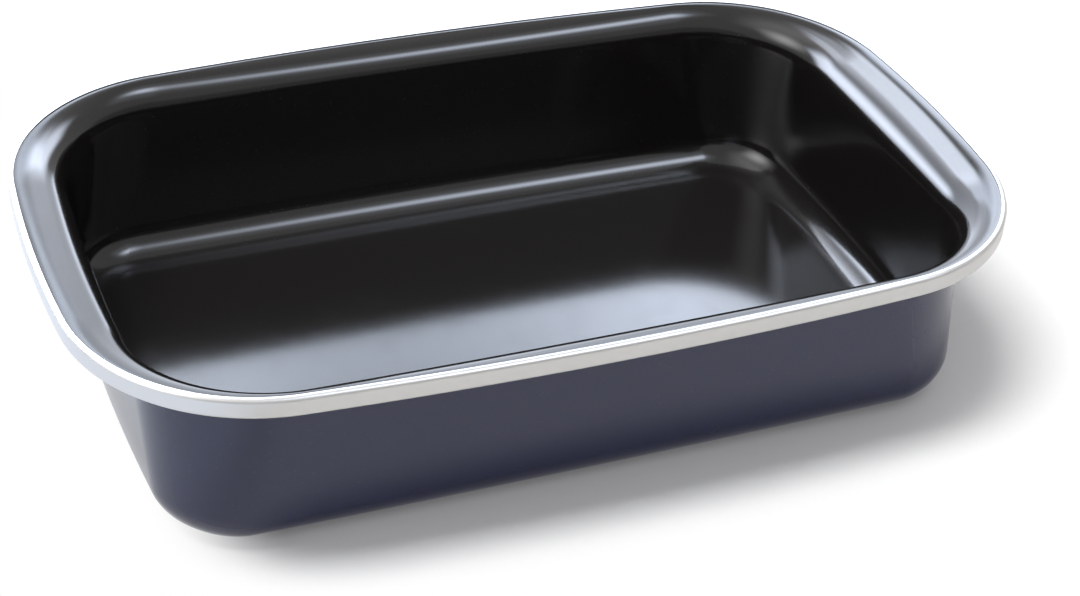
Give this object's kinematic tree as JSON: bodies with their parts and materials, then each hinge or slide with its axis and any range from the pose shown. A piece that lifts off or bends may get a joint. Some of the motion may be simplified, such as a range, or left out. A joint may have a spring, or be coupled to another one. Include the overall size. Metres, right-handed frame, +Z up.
{
  "type": "roasting pan",
  "caption": "Oblong enamelled steel roasting pan with rounded corners, a turned-down rim closed by a stainless band, and a flat base.",
  "frame": {"origin": "middle of the base, on the plane that the pan stands on", "axes": "+X along the pan's length, +Y across it towards the back, +Z up"},
  "size_m": [0.4, 0.248, 0.0816],
  "materials": {
    "black_enamel": "glossy fired enamel",
    "blue_grey_enamel": "semi-gloss fired enamel",
    "drawn_steel": "bare cold-rolled, covered by the coats",
    "stainless_steel": "bright satin"
  },
  "bodies": {
    "root": {"enamel_inside": "black_enamel", "steel_shell": "drawn_steel", "enamel_outside": "blue_grey_enamel", "rim_band": "stainless_steel"}
  },
  "joints": []
}
